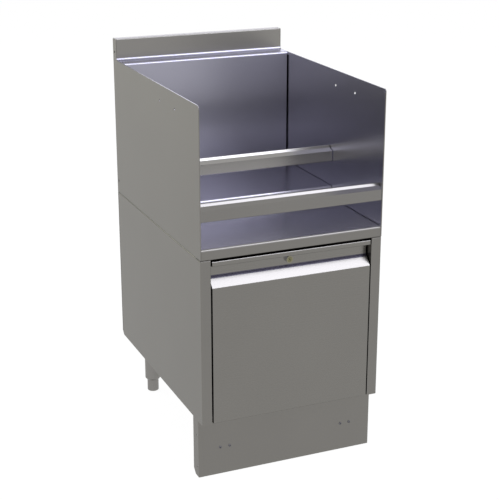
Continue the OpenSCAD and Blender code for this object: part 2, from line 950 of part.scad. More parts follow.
module slide_inner(side) {
    front_frame()
        handed(side)
            difference() {
                member(slide_y, slide_y + slide_l)
                    channel(slide_w, inner_tip_s, inner_top, slide_t, 0);
                race(inner_ball_s, inner_ball_z, inner_ball_d);
                slide_screw_places() {
                    bar_x(box_x - cut, box_x + slide_t + cut, 0, 0, slide_screw_d + 2 * shaft_gap);
                    bar_x(box_x + slide_t - slide_screw_head_h, box_x + slide_t + cut, 0, 0,
                          slide_screw_head_d + 2 * shaft_gap);
                }
            }
}

// U-shaped strip that holds two rows of balls
module cage(side, s0, s1, z, s_ball, d) {
    front_frame()
        handed(side)
            difference() {
                member(cage_y, cage_y + cage_l)
                    channel(s0, s1, z + cage_t / 2, cage_t, 0);
                for (i = [0 : ball_count - 1])
                    translate([slide_x - s_ball, cage_y + (i + 0.5) * ball_pitch, slide_mid_z - slide_h / 2])
                        cylinder(d = d + run_gap, h = slide_h);
            }
}

module balls(s, z, d) {
    front_frame()
        for (side = [-1, 1], up = [-1, 1], i = [0 : ball_count - 1])
            handed(side)
                translate([slide_x - s, cage_y + (i + 0.5) * ball_pitch, slide_mid_z + up * z])
                    sphere(d = d, $fn = 24);
}

module slide_bracket_left() {
    color(dark_steel)
        slide_bracket(-1);
}

module slide_bracket_right() {
    color(dark_steel)
        slide_bracket(1);
}

module slide_outer_left() {
    color(bright_steel)
        slide_outer(-1);
}

module slide_outer_right() {
    color(bright_steel)
        slide_outer(1);
}

module slide_middle_left() {
    color(bright_steel)
        slide_middle(-1);
}

module slide_middle_right() {
    color(bright_steel)
        slide_middle(1);
}

module slide_inner_left() {
    color(bright_steel)
        slide_inner(-1);
}

module slide_inner_right() {
    color(bright_steel)
        slide_inner(1);
}

module outer_cage(side) {
    color(dark_steel)
        cage(side, slide_t + run_gap, outer_ball_s + outer_ball_d / 2 + 1.3, outer_ball_z,
             outer_ball_s, outer_ball_d);
}

module inner_cage(side) {
    color(dark_steel)
        cage(side, middle_s + slide_t + run_gap, inner_ball_s + inner_ball_d / 2 + 0.7, inner_ball_z,
             inner_ball_s, inner_ball_d);
}

module outer_cage_left() {
    outer_cage(-1);
}

module outer_cage_right() {
    outer_cage(1);
}

module inner_cage_left() {
    inner_cage(-1);
}

module inner_cage_right() {
    inner_cage(1);
}

module outer_balls() {
    color(bright_steel)
        balls(outer_ball_s, outer_ball_z, outer_ball_d);
}

module inner_balls() {
    color(bright_steel)
        balls(inner_ball_s, inner_ball_z, inner_ball_d);
}

module slide_screws() {
    color(dark_steel)
        front_frame()
            for (side = [-1, 1])
                handed(side)
                    slide_screw_places() {
                        bar_x(slide_x - slide_t, slide_x + sheet_t + slide_screw_d, 0, 0, slide_screw_d);
                        bar_x(slide_x - slide_t, slide_x - slide_t + slide_screw_head_h, 0, 0, slide_screw_head_d);
                    }
}

module drawer_slide_screws() {
    color(dark_steel)
        front_frame()
            for (side = [-1, 1])
                handed(side)
                    slide_screw_places() {
                        bar_x(box_x - sheet_t - slide_screw_d / 2, box_x + slide_t, 0, 0, slide_screw_d);
                        bar_x(box_x + slide_t - slide_screw_head_h, box_x + slide_t, 0, 0, slide_screw_head_d);
                    }
}

// The lock

module lock_barrel() {
    color(bright_steel)
        front_frame()
            difference() {
                union() {
                    bar_y(lock_x, recess_d - lock_head_l, recess_d, lock_z, lock_head_d);
                    bar_y(lock_x, recess_d - cut, cam_y - run_gap, lock_z, lock_barrel_d);
                }
                bar_y(lock_x, 0, cam_y + cut, lock_z, lock_plug_d + 2 * shaft_gap);
            }
}

module lock_nut() {
    color(dark_steel)
        front_frame()
            difference() {
                translate([lock_x, recess_d + sheet_t + lock_nut_h, lock_z])
                    rotate([90, 0, 0])
                        cylinder(d = lock_nut_d, h = lock_nut_h, $fn = 6);
                bar_y(lock_x, recess_d, front_t, lock_z, lock_barrel_d + 2 * shaft_gap);
            }
}

module lock_plug() {
    color(brass)
        front_frame()
            difference() {
                bar_y(lock_x, recess_d - lock_head_l - plug_proud, cam_y, lock_z, lock_plug_d);
                block([lock_x - keyway_w / 2, 0, lock_z - keyway_h / 2],
                      [lock_x + keyway_w / 2, recess_d - lock_head_l + keyway_depth, lock_z + keyway_h / 2]);
                bar_y(lock_x, cam_y + cam_t - cam_screw_l, cam_y + cut, lock_z, cam_screw_d + 2 * shaft_gap);
            }
}

module lock_cam() {
    tip = cam_reach - cam_w / 2;
    color(dark_steel)
        front_frame()
            translate([lock_x, cam_y + cam_t, lock_z])
                rotate([90, 0, 0])
                    linear_extrude(cam_t)
                        difference() {
                            union() {
                                circle(d = lock_barrel_d);
                                translate([-tip, -cam_w / 2])
                                    square([tip, cam_w]);
                                translate([-tip, 0])
                                    circle(d = cam_w);
                            }
                            circle(d = cam_screw_d + 2 * shaft_gap);
                        }
}

module cam_screw() {
    color(bright_steel)
        front_frame() {
            bar_y(lock_x, cam_y + cam_t - cam_screw_l, cam_y + cam_t, lock_z, cam_screw_d);
            bar_y(lock_x, cam_y + cam_t, cam_y + cam_t + cam_screw_head_h, lock_z, cam_screw_head_d);
        }
}

// The kick plate

module clip_screw_places() {
    for (i = [-1, 1])
        translate([half_w - clip_inset + i * clip_screw_spacing / 2, kick_recess, clip_z])
            children();
}

module kick_plate() {
    back = kick_recess + kick_flange_d;
    color(steel)
        front_frame()
            difference() {
                upright(kick_floor_gap, leg_h - kick_top_gap)
                    polygon(folded(
                        [[kick_x, back], [kick_x, kick_recess], [-kick_x, kick_recess], [-kick_x, back]],
                        [0, fold_r, fold_r, 0]));
                for (side = [-1, 1])
                    handed(side) {
                        clip_screw_places()
                            bar_y(0, -cut, sheet_t + cut, 0, clip_screw_d + 2 * shaft_gap);
                        for (i = [0, 1])
                            bar_x(kick_x - sheet_t - cut, kick_x + cut, kick_recess + kick_hole_y,
                                  kick_hole_z + i * kick_hole_spacing, kick_hole_d);
                        translate([kick_x, back, kick_floor_gap])
                            rotate([45, 0, 0])
                                cube([4 * sheet_t, 2 * kick_notch, kick_notch * sqrt(2)], center = true);
                    }
            }
}

module kick_clip(side) {
    plate_x = half_w - clip_inset;
    plate_y = kick_recess + sheet_t;
    ring_r = leg_d / 2 + shaft_gap;
    low_z = clip_z - clip_plate_h / 2;
    high_z = clip_z + clip_plate_h / 2;
    front_frame()
        handed(side)
            difference() {
                union() {
                    block([plate_x - clip_plate_w / 2, plate_y, low_z],
                          [plate_x + clip_plate_w / 2, plate_y + sheet_t, high_z]);
                    block([leg_x - sheet_t / 2, plate_y, low_z],
                          [leg_x + sheet_t / 2, leg_front_y - ring_r - sheet_t / 2, high_z]);
                    translate([leg_x, leg_front_y, low_z])
                        cylinder(r = ring_r + sheet_t, h = clip_plate_h);
                }
                translate([leg_x, leg_front_y, low_z - cut])
                    cylinder(r = ring_r, h = clip_plate_h + 2 * cut);
                block([leg_x - clip_mouth / 2, leg_front_y, low_z - cut],
                      [leg_x + clip_mouth / 2, leg_front_y + leg_d, high_z + cut]);
                clip_screw_places()
                    bar_y(0, 0, 2 * sheet_t + cut, 0, clip_screw_d + 2 * shaft_gap);
            }
}

module kick_clip_left() {
    color(dark_steel)
        kick_clip(-1);
}

module kick_clip_right() {
    color(dark_steel)
        kick_clip(1);
}

module kick_screws() {
    dome_r = (pow(clip_head_d / 2, 2) + pow(clip_head_h, 2)) / (2 * clip_head_h);
    color(bright_steel)
        front_frame()
            for (side = [-1, 1])
                handed(side)
                    clip_screw_places() {
                        bar_y(0, 0, clip_screw_l, 0, clip_screw_d);
                        intersection() {
                            translate([0, dome_r - clip_head_h, 0])
                                sphere(r = dome_r);
                            bar_y(0, -clip_head_h - cut, 0, 0, clip_head_d);
                        }
                    }
}

// The legs

leg_places = [[-leg_x, leg_front_y], [leg_x, leg_front_y], [-leg_x, leg_rear_y], [leg_x, leg_rear_y]];

module leg_bolt_places() {
    for (place = leg_places, angle = [45 : 90 : 315])
        translate([place[0] + leg_bolt_circle / 2 * cos(angle), place[1] + leg_bolt_circle / 2 * sin(angle), 0])
            children();
}

module leg_flanges() {
    outer = leg_inner_r - shaft_gap;
    color(dark_steel)
        front_frame()
            difference() {
                for (place = leg_places)
                    translate([place[0], place[1], 0])
                        rotate_extrude()
                            polygon([[outer - spigot_wall, leg_top_z - spigot_l], [outer, leg_top_z - spigot_l],
                                     [outer, leg_top_z], [leg_flange_d / 2, leg_top_z],
                                     [leg_flange_d / 2, leg_h], [outer - spigot_wall, leg_h]]);
                leg_bolt_places()
                    translate([0, 0, leg_top_z - cut])
                        cylinder(d = leg_bolt_d + 2 * shaft_gap, h = leg_flange_t + 2 * cut);
            }
}

module leg_bolts() {
    color(bright_steel)
        front_frame()
            leg_bolt_places() {
                translate([0, 0, leg_top_z])
                    cylinder(d = leg_bolt_d, h = leg_flange_t + sheet_t + nut_h + bolt_tail);
                translate([0, 0, leg_top_z - bolt_head_h])
                    cylinder(d = bolt_head_d, h = bolt_head_h, $fn = 6);
            }
}

module leg_nuts() {
    color(bright_steel)
        front_frame()
            leg_bolt_places()
                translate([0, 0, leg_h + sheet_t])
                    difference() {
                        cylinder(d = bolt_head_d, h = nut_h, $fn = 6);
                        translate([0, 0, -cut])
                            cylinder(d = leg_bolt_d + 2 * shaft_gap, h = nut_h + 2 * cut);
                    }
}

module leg_tube(place) {
    color(bright_steel)
        front_frame()
            translate([place[0], place[1], tube_z])
                difference() {
                    cylinder(d = leg_d, h = leg_top_z - tube_z);
                    translate([0, 0, -cut])
                        cylinder(r = leg_inner_r, h = leg_top_z - tube_z + 2 * cut);
                }
}

// Bushes pressed into the tubes, threaded for the feet
module leg_bushes() {
    bore = foot_d / 2 + shaft_gap;
    recess_z = leg_foot_z + bush_recess_h;
    outer = leg_inner_r - shaft_gap;
    color(dark_steel)
        front_frame()
            for (place = leg_places)
                translate([place[0], place[1], 0])
                    rotate_extrude()
                        polygon([[bore, leg_foot_z], [bore + bush_lip, leg_foot_z],
                                 [leg_d / 2, leg_foot_z + bush_taper_h], [leg_d / 2, tube_z], [outer, tube_z],
                                 [outer, recess_z + bush_web_h], [foot_stem_d / 2 + shaft_gap, recess_z + bush_web_h],
                                 [foot_stem_d / 2 + shaft_gap, recess_z], [bore, recess_z]]);
}

module foot(place) {
    r = foot_d / 2;
    edge = eased([[0, 0], [r - foot_edge_r - 2, 0], [r, foot_dome_h + 2], [r, foot_body_h],
                  [foot_stem_d / 2, foot_body_h], [foot_stem_d / 2, foot_body_h + foot_stem_l],
                  [0, foot_body_h + foot_stem_l]],
                 [0, foot_edge_r, foot_dome_h + 1, 0, 0, 0, 0]);
    color(bright_steel)
        front_frame()
            translate([place[0], place[1], 0])
                rotate_extrude()
                    polygon(edge);
}

module leg_front_left() {
    leg_tube(leg_places[0]);
}

module leg_front_right() {
    leg_tube(leg_places[1]);
}

module leg_rear_left() {
    leg_tube(leg_places[2]);
}

module leg_rear_right() {
    leg_tube(leg_places[3]);
}

module foot_front_left() {
    foot(leg_places[0]);
}

module foot_front_right() {
    foot(leg_places[1]);
}

module foot_rear_left() {
    foot(leg_places[2]);
}

module foot_rear_right() {
    foot(leg_places[3]);
}

side_panel_left();
side_panel_right();
back_splash();
rear_cover();
deck_pan();
rear_step();
upper_rail();
lower_rail();
rail_rivets();
body_side_left();
body_side_right();
body_back();
body_bottom();
header();
rear_screws();
drawer_front();
drawer_liner();
drawer_box();
box_screws();
slide_bracket_left();
slide_bracket_right();
slide_outer_left();
slide_outer_right();
slide_middle_left();
slide_middle_right();
slide_inner_left();
slide_inner_right();
outer_cage_left();
outer_cage_right();
inner_cage_left();
inner_cage_right();
outer_balls();
inner_balls();
slide_screws();
drawer_slide_screws();
lock_barrel();
lock_nut();
lock_plug();
lock_cam();
cam_screw();
kick_plate();
kick_clip_left();
kick_clip_right();
kick_screws();
leg_flanges();
leg_bolts();
leg_nuts();
leg_front_left();
leg_front_right();
leg_rear_left();
leg_rear_right();
leg_bushes();
foot_front_left();
foot_front_right();
foot_rear_left();
foot_rear_right();
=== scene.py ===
"""Looks of the underbar storage cabinet: finishes, small parts, camera and studio."""
import json
import math

import bmesh
import bpy
from mathutils import Matrix, Vector


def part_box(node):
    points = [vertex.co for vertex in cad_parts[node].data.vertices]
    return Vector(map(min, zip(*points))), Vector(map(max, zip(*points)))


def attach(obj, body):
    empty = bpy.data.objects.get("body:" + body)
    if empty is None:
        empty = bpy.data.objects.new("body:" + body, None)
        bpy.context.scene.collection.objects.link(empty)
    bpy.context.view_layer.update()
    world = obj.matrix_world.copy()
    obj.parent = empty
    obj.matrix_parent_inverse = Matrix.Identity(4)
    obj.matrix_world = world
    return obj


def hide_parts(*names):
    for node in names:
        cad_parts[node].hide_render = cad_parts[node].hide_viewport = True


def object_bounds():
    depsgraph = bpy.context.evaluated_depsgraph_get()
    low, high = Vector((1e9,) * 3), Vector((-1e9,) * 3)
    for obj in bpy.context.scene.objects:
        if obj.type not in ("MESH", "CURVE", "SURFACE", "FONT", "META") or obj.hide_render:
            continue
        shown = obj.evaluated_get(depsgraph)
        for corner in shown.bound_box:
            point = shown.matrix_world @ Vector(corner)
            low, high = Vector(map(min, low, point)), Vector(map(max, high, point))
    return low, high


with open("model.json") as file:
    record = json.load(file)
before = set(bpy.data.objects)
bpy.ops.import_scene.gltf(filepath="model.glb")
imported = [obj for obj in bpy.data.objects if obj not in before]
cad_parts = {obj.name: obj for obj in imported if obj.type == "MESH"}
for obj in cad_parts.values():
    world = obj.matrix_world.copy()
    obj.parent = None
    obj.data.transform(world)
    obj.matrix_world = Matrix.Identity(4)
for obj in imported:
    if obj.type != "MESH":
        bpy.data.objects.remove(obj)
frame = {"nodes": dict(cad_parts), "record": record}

cad_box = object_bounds()

# Places are in metres, and a size in millimetres is multiplied by MM where it meets them
MM = 0.001

# Planes of the cabinet, from the frame
SIDE = cad_box[1].x
FRONT = cad_box[0].y
REAR = cad_box[1].y
TOP = cad_box[1].z
LEG_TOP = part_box("body_side_left")[0].z
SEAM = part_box("body_side_left")[1].z

# Middle of the lock case's front face
PLUG_D = 10.8
PLUG_LOW, PLUG_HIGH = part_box("lock_plug")
LOCK = Vector((PLUG_HIGH.x - PLUG_D / 2 * MM,
               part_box("lock_barrel")[0].y,
               (PLUG_LOW.z + PLUG_HIGH.z) / 2))

# Camera fitted to the photograph, with its angles in degrees
VIEW_AZIMUTH = -23.0228
VIEW_ELEVATION = 18.9063
CAMERA_PLACE = (-1.157, -2.76967, 1.488)
FOCAL_PX = 1254.387
FRAME_PX = 500
SENSOR_MM = 36
SIGHT = 100

# Studio, in metres. The floor mostly glows for the camera and in reflections, and a matt share of it keeps
# the shadow. The glow is a little over white, which makes up for the light that the matt share lacks
FLOOR_REACH = 60
FLOOR_DROP = 0.5 * MM
FLOOR_GLOW_SHARE = 0.96
FLOOR_GLOW = 1.015
WORLD_ON_OBJECT = 0.6
LAMP_DISTANCE = 4.5
LAMP_TARGET_HEIGHT = 0.7

# Softboxes: name, azimuth, elevation, width, colour and brightness. They stand where the sheets and their
# folds mirror them towards the photograph's side
LAMPS = (
    ("front_left", -25, 18, 2.08, "#ececff", 1.97),
    ("back_left", -130, 18, 2.75, "#fffde2", 4.8),
    ("high_back_left", -130, 42, 2.92, "#dbdfff", 1.82),
    ("high_back", 180, 42, 2.92, "#c8cdff", 0.64),
    ("back_right", 157, 19, 1.9, "#f0f0ff", 1.7),
    ("front_right", 20, 20, 1.2, "#e8e8ff", 1.7),
    ("upper_right", 38, 51, 2.6, "#eef0ff", 5.4),
)

# Real brushing leaves lines about 0.1 mm apart. They are drawn 0.3 mm apart, so that a close view shows them
BRUSH_GAP = 0.3
BRUSH_LENGTH = 120
BRUSH_DEPTH = 0.1
BRUSH_STRENGTH = 0.004
BRUSH_ROUGHNESS = 0.01
# Turned tubes have coarser and shorter marks
TURNING_GAP = 0.6
TURNING_LENGTH = 60
# Rolled sheet is a little lighter and darker in wide patches
PATCH_SIZE = 200
PATCH_SHADE = 0.015
# Plating and castings are a little mottled
MOTTLE_SIZE = 2.5
MOTTLE_ROUGHNESS = 0.05
# Most of a noise texture lies between these values
NOISE_LOW = 0.3
NOISE_HIGH = 0.7

SHEET_COLOUR = "#7b7975"
# Painted light: faces inside the open station are a lighter violet grey than the same sheet outside
BAY_PAINTED_LIGHT = "#a4a3ab"
# Satin steel stays a little under white at grazing angles
EDGE_TINT = "#e7e7e7"

# Where the open station's inner faces lie: between the panels' outer skins, behind the front folds of the
# floor or of the panels, and below the upstand
BAY_SIDE = SIDE - 1.0 * MM
BAY_TOP = TOP - 48.7 * MM
FLOOR_FOLD = FRONT + 5.3 * MM
PANEL_FOLD = FRONT + 0.5 * MM

# Painted shade bands: height, half width and least depth of the band along the finger recess's inward fold
# and of the band along the body sides' top fold, and how far both bands fade out
RECESS_PAINTED_SHADE = (LOCK.z - 17.3 * MM, 2.8 * MM, FRONT + 16.6 * MM)
SEAM_PAINTED_SHADE = (SEAM - 0.8 * MM, 2.2 * MM, FRONT + 4.8 * MM)
PAINTED_SHADE_FADE = 1.0 * MM

# How deep behind the lock case's face its plating is worn off
CASE_WEAR = 0.6 * MM

# Turned outline of the lock plug: radius and distance in front of the case's face, in millimetres. Its inner
# end is hidden in the case, where the cam's screw ends
PLUG_OUTLINE = ((5.35, -26), (5.35, 0.15), (5.0, 0.5), (4.3, 0.5), (4.1, 0.3), (3.8, 0.3), (3.6, 0.5),
                (0.6, 0.5))
PLUG_SIDES = 64
# Keyway: its corners seen from the front, where it starts and ends behind the face, and its lean in degrees
KEYWAY = ((-0.75, -2.9), (0.75, -2.9), (0.75, -0.4), (1.25, 0.3), (0.75, 0.9), (0.75, 2.9), (-0.75, 2.9),
          (-0.75, 1.5), (-1.15, 0.8), (-0.75, 0.1))
KEYWAY_DEPTHS = (-2, 9)
KEYWAY_LEAN = -25

# Each kind of screw's head diameter, head height, shank diameter and shank length, in millimetres
KICK_SCREW = (6.8, 1.9, 3.9, 6)
REAR_SCREW = (6.4, 1.2, 4, 6.4)
BOX_SCREW = (10, 3, 5, 7.4)
BRACKET_SCREW = (7.4, 0.9, 4, 5.5)
DRAWER_SCREW = (7.4, 0.9, 4, 3.5)

# Gaps between screws, or from a sheet's end to its first screw, in millimetres
KICK_PAIR = 24
REAR_SCREW_END = 60
BOX_SCREW_END = 60
SLIDE_SCREW_END = 40

# A cross recess's span, width and depth as shares of its head, and its greatest depth in millimetres
RECESS_SPAN = 0.56
RECESS_WIDTH = 0.15
RECESS_DEPTH = 0.9
RECESS_LIMIT = 1.4
THREAD_PITCH = 0.9

FORWARD = (0, -1, 0)
REARWARD = (0, 1, 0)


def make_camera():
    """The photograph's viewpoint, with no shift and no depth of field."""
    azimuth = math.radians(VIEW_AZIMUTH)
    elevation = math.radians(VIEW_ELEVATION)
    ahead = Vector((-math.sin(azimuth) * math.cos(elevation),
                    math.cos(azimuth) * math.cos(elevation),
                    -math.sin(elevation)))
    data = bpy.data.cameras.new("camera")
    data.sensor_width = SENSOR_MM
    data.lens = FOCAL_PX / FRAME_PX * SENSOR_MM
    data.clip_end = SIGHT
    camera = bpy.data.objects.new("camera", data)
    bpy.context.collection.objects.link(camera)
    camera.location = CAMERA_PLACE
    camera.rotation_mode = "QUATERNION"
    camera.rotation_quaternion = ahead.to_track_quat("-Z", "Y")
    bpy.context.scene.camera = camera


def linear(hex_colour):
    """An sRGB hex colour as linear red, green, blue and alpha."""
    parts = [int(hex_colour[i:i + 2], 16) / 255 for i in (1, 3, 5)]
    return [c / 12.92 if c <= 0.04045 else ((c + 0.055) / 1.055) ** 2.4 for c in parts] + [1.0]


def add_node(tree, kind, inputs=None, **settings):
    """Adds a node. inputs maps a socket's name or number to a value or to another node's output."""
    node = tree.nodes.new(kind)
    for name, value in settings.items():
        setattr(node, name, value)
    for name, value in (inputs or {}).items():
        if isinstance(value, bpy.types.NodeSocket):
            tree.links.new(value, node.inputs[name])
        else:
            node.inputs[name].default_value = value
    return node


def new_material(name):
    """A material with an empty tree, and that tree."""
    material = bpy.data.materials.new(name)
    material.use_nodes = True
    material.node_tree.nodes.clear()
    return material, material.node_tree


def inside_bay(tree, place, front):
    """1 on faces inside the station, and 0 on its outer faces and in front of the given depth."""
    parts = add_node(tree, "ShaderNodeSeparateXYZ", {"Vector": place}).outputs
    sideways = add_node(tree, "ShaderNodeMath", {0: parts["X"]}, operation="ABSOLUTE").outputs[0]
    between = add_node(tree, "ShaderNodeMath", {0: sideways, 1: BAY_SIDE}, operation="LESS_THAN").outputs[0]
    behind = add_node(tree, "ShaderNodeMath", {0: parts["Y"], 1: front}, operation="GREATER_THAN").outputs[0]
    below = add_node(tree, "ShaderNodeMath", {0: parts["Z"], 1: BAY_TOP}, operation="LESS_THAN").outputs[0]
    inner = add_node(tree, "ShaderNodeMath", {0: between, 1: behind}, operation="MULTIPLY").outputs[0]
    return add_node(tree, "ShaderNodeMath", {0: inner, 1: below}, operation="MULTIPLY").outputs[0]


def painted_shade_band(tree, place, height, half_width, behind):
    """Mask of a painted shade band: 1 along a level fold at the given height, where it lies behind a depth,
    and 0 a short way off it.
    """
    parts = add_node(tree, "ShaderNodeSeparateXYZ", {"Vector": place}).outputs
    above = add_node(tree, "ShaderNodeMath", {0: parts["Z"], 1: height}, operation="SUBTRACT").outputs[0]
    away = add_node(tree, "ShaderNodeMath", {0: above}, operation="ABSOLUTE").outputs[0]
    near = add_node(tree, "ShaderNodeMapRange",
                    {"Value": away, "From Min": half_width, "From Max": half_width + PAINTED_SHADE_FADE,
                     "To Min": 1.0, "To Max": 0.0}).outputs[0]
    deep = add_node(tree, "ShaderNodeMath", {0: parts["Y"], 1: behind}, operation="GREATER_THAN").outputs[0]
    return add_node(tree, "ShaderNodeMath", {0: near, 1: deep}, operation="MULTIPLY").outputs[0]


def brushed_steel(name, colour, roughness, across, gap=BRUSH_GAP, length=BRUSH_LENGTH, bay=None, fold=None):
    """Stainless steel sheet, satin brushed: pale grey, softly mirroring, with a fine grain in one direction.

    across has 1 for each axis over which the grain changes. gap and length are the brush marks' own, in
    millimetres. bay is the colour, roughness and front depth of faces in the open station: the colour is
    painted light, a lighter violet grey standing in for the sheets mirroring each other there, and the
    roughness makes those faces smoother. fold is a painted shade band along a fold, and the dark colour
    painted there.
    """
    material, tree = new_material(name)
    place = add_node(tree, "ShaderNodeTexCoord").outputs["Object"]
    scale = [1 / ((gap if part else length) * MM) for part in across]
    stretched = add_node(tree, "ShaderNodeMapping", {"Vector": place, "Scale": scale}).outputs["Vector"]
    grain = add_node(tree, "ShaderNodeTexNoise",
                     {"Vector": stretched, "Scale": 1.0, "Detail": 3.0, "Roughness": 0.6}).outputs["Fac"]
    patches = add_node(tree, "ShaderNodeTexNoise",
                       {"Vector": place, "Scale": 1 / (PATCH_SIZE * MM), "Detail": 2.0,
                        "Roughness": 0.5}).outputs["Fac"]
    polish = add_node(tree, "ShaderNodeMapRange",
                      {"Value": grain, "From Min": NOISE_LOW, "From Max": NOISE_HIGH,
                       "To Min": roughness - BRUSH_ROUGHNESS,
                       "To Max": roughness + BRUSH_ROUGHNESS}).outputs[0]
    shade = add_node(tree, "ShaderNodeMapRange",
                     {"Value": patches, "From Min": NOISE_LOW, "From Max": NOISE_HIGH,
                      "To Min": 1 - PATCH_SHADE, "To Max": 1 + PATCH_SHADE}).outputs[0]
    base = linear(colour)
    # Painted light: inside the station the colour turns to the lighter violet grey
    if bay:
        painted_bay_light, bay_roughness, front = bay
        inner = inside_bay(tree, place, front)
        base = add_node(tree, "ShaderNodeMix", {0: inner, 6: base, 7: linear(painted_bay_light)},
                        data_type="RGBA").outputs[2]
        smoother = add_node(tree, "ShaderNodeMath", {0: inner, 1: roughness - bay_roughness},
                            operation="MULTIPLY").outputs[0]
        polish = add_node(tree, "ShaderNodeMath", {0: polish, 1: smoother}, operation="SUBTRACT").outputs[0]
    # Painted shade: a dark band is painted along the fold
    if fold:
        line, dark = fold
        base = add_node(tree, "ShaderNodeMix", {0: painted_shade_band(tree, place, *line), 6: base, 7: linear(dark)},
                        data_type="RGBA").outputs[2]
    tint = add_node(tree, "ShaderNodeMix", {0: 1.0, 6: base, 7: shade},
                    data_type="RGBA", blend_type="MULTIPLY").outputs[2]
    bump = add_node(tree, "ShaderNodeBump",
                    {"Height": grain, "Strength": BRUSH_STRENGTH, "Distance": BRUSH_DEPTH * MM}).outputs[0]
    shader = add_node(tree, "ShaderNodeBsdfPrincipled",
                      {"Base Color": tint, "Metallic": 1.0, "Roughness": polish,
                       "Specular Tint": linear(EDGE_TINT), "Normal": bump})
    add_node(tree, "ShaderNodeOutputMaterial", {"Surface": shader.outputs["BSDF"]})
    return material


def mottled_metal(name, colour, roughness, mottle=MOTTLE_SIZE, detail=2.0, worn=None):
    """A small plated, polished or cast metal part, with its shine a little uneven over a few millimetres.

    worn is the colour under the plating, which shows on the front face of the lock case.
    """
    material, tree = new_material(name)
    place = add_node(tree, "ShaderNodeTexCoord").outputs["Object"]
    spots = add_node(tree, "ShaderNodeTexNoise",
                     {"Vector": place, "Scale": 1 / (mottle * MM), "Detail": detail}).outputs["Fac"]
    polish = add_node(tree, "ShaderNodeMapRange",
                      {"Value": spots, "From Min": NOISE_LOW, "From Max": NOISE_HIGH,
                       "To Min": roughness - MOTTLE_ROUGHNESS,
                       "To Max": roughness + MOTTLE_ROUGHNESS}).outputs[0]
    base = linear(colour)
    if worn:
        depth = add_node(tree, "ShaderNodeSeparateXYZ", {"Vector": place}).outputs["Y"]
        ahead = add_node(tree, "ShaderNodeMath", {0: depth, 1: LOCK.y + CASE_WEAR},
                         operation="LESS_THAN").outputs[0]
        base = add_node(tree, "ShaderNodeMix", {0: ahead, 6: base, 7: linear(worn)},
                        data_type="RGBA").outputs[2]
    shader = add_node(tree, "ShaderNodeBsdfPrincipled",
                      {"Base Color": base, "Metallic": 1.0, "Roughness": polish})
    add_node(tree, "ShaderNodeOutputMaterial", {"Surface": shader.outputs["BSDF"]})
    return material


def seen_or_mirrored(tree):
    """1 for what the camera sees directly, mirrored or through glass, and 0 for light on other surfaces."""
    path = add_node(tree, "ShaderNodeLightPath").outputs
    first = add_node(tree, "ShaderNodeMath", {0: path["Is Camera Ray"], 1: path["Is Glossy Ray"]},
                     operation="MAXIMUM").outputs[0]
    return add_node(tree, "ShaderNodeMath", {0: first, 1: path["Is Transmission Ray"]},
                    operation="MAXIMUM").outputs[0]


def make_floor():
    """White studio floor. It glows mostly by itself and keeps a faint shadow of the cabinet."""
    material, tree = new_material("white_floor")
    matt = add_node(tree, "ShaderNodeBsdfDiffuse", {"Color": linear("#ffffff")}).outputs[0]
    glow = add_node(tree, "ShaderNodeEmission",
                    {"Color": linear("#ffffff"), "Strength": FLOOR_GLOW}).outputs[0]
    share = add_node(tree, "ShaderNodeMath", {0: seen_or_mirrored(tree), 1: FLOOR_GLOW_SHARE},
                     operation="MULTIPLY").outputs[0]
    mixed = add_node(tree, "ShaderNodeMixShader", {0: share, 1: matt, 2: glow}).outputs[0]
    add_node(tree, "ShaderNodeOutputMaterial", {"Surface": mixed})
    corners = [(x * FLOOR_REACH, y * FLOOR_REACH, 0) for x, y in ((-1, -1), (1, -1), (1, 1), (-1, 1))]
    mesh = bpy.data.meshes.new("floor")
    mesh.from_pydata(corners, [], [range(len(corners))])
    mesh.materials.append(material)
    floor = bpy.data.objects.new("floor", mesh)
    bpy.context.collection.objects.link(floor)
    floor.location.z = -FLOOR_DROP


def make_world():
    """White surroundings, which light other surfaces more softly."""
    world = bpy.data.worlds.new("studio")
    bpy.context.scene.world = world
    world.use_nodes = True
    tree = world.node_tree
    tree.nodes.clear()
    strength = add_node(tree, "ShaderNodeMapRange",
                        {"Value": seen_or_mirrored(tree), "To Min": WORLD_ON_OBJECT}).outputs[0]
    back = add_node(tree, "ShaderNodeBackground",
                    {"Color": linear("#ffffff"), "Strength": strength}).outputs[0]
    add_node(tree, "ShaderNodeOutputWorld", {"Surface": back})


def make_softbox(name, azimuth, elevation, width, colour, brightness):
    """A square lamp that faces the cabinet. brightness is how bright its own face looks, where 1 is white."""
    turn, rise = math.radians(azimuth), math.radians(elevation)
    out = Vector((math.sin(turn) * math.cos(rise), -math.cos(turn) * math.cos(rise), math.sin(rise)))
    data = bpy.data.lights.new(name, "AREA")
    data.shape = "SQUARE"
    data.size = width
    data.color = linear(colour)[:3]
    data.energy = brightness * math.pi * width * width
    lamp = bpy.data.objects.new(name, data)
    bpy.context.collection.objects.link(lamp)
    lamp.location = Vector((0, 0, LAMP_TARGET_HEIGHT)) + out * LAMP_DISTANCE
    lamp.rotation_mode = "QUATERNION"
    lamp.rotation_quaternion = (-out).to_track_quat("-Z", "Y")


def make_studio():
    make_floor()
    make_world()
    for lamp in LAMPS:
        make_softbox(*lamp)


# Which way the grain runs: level along the sides, and from side to side on what is folded across the cabinet
ALONG_SIDES = (0, 0, 1)
ACROSS_CABINET = (0, 1, 1)

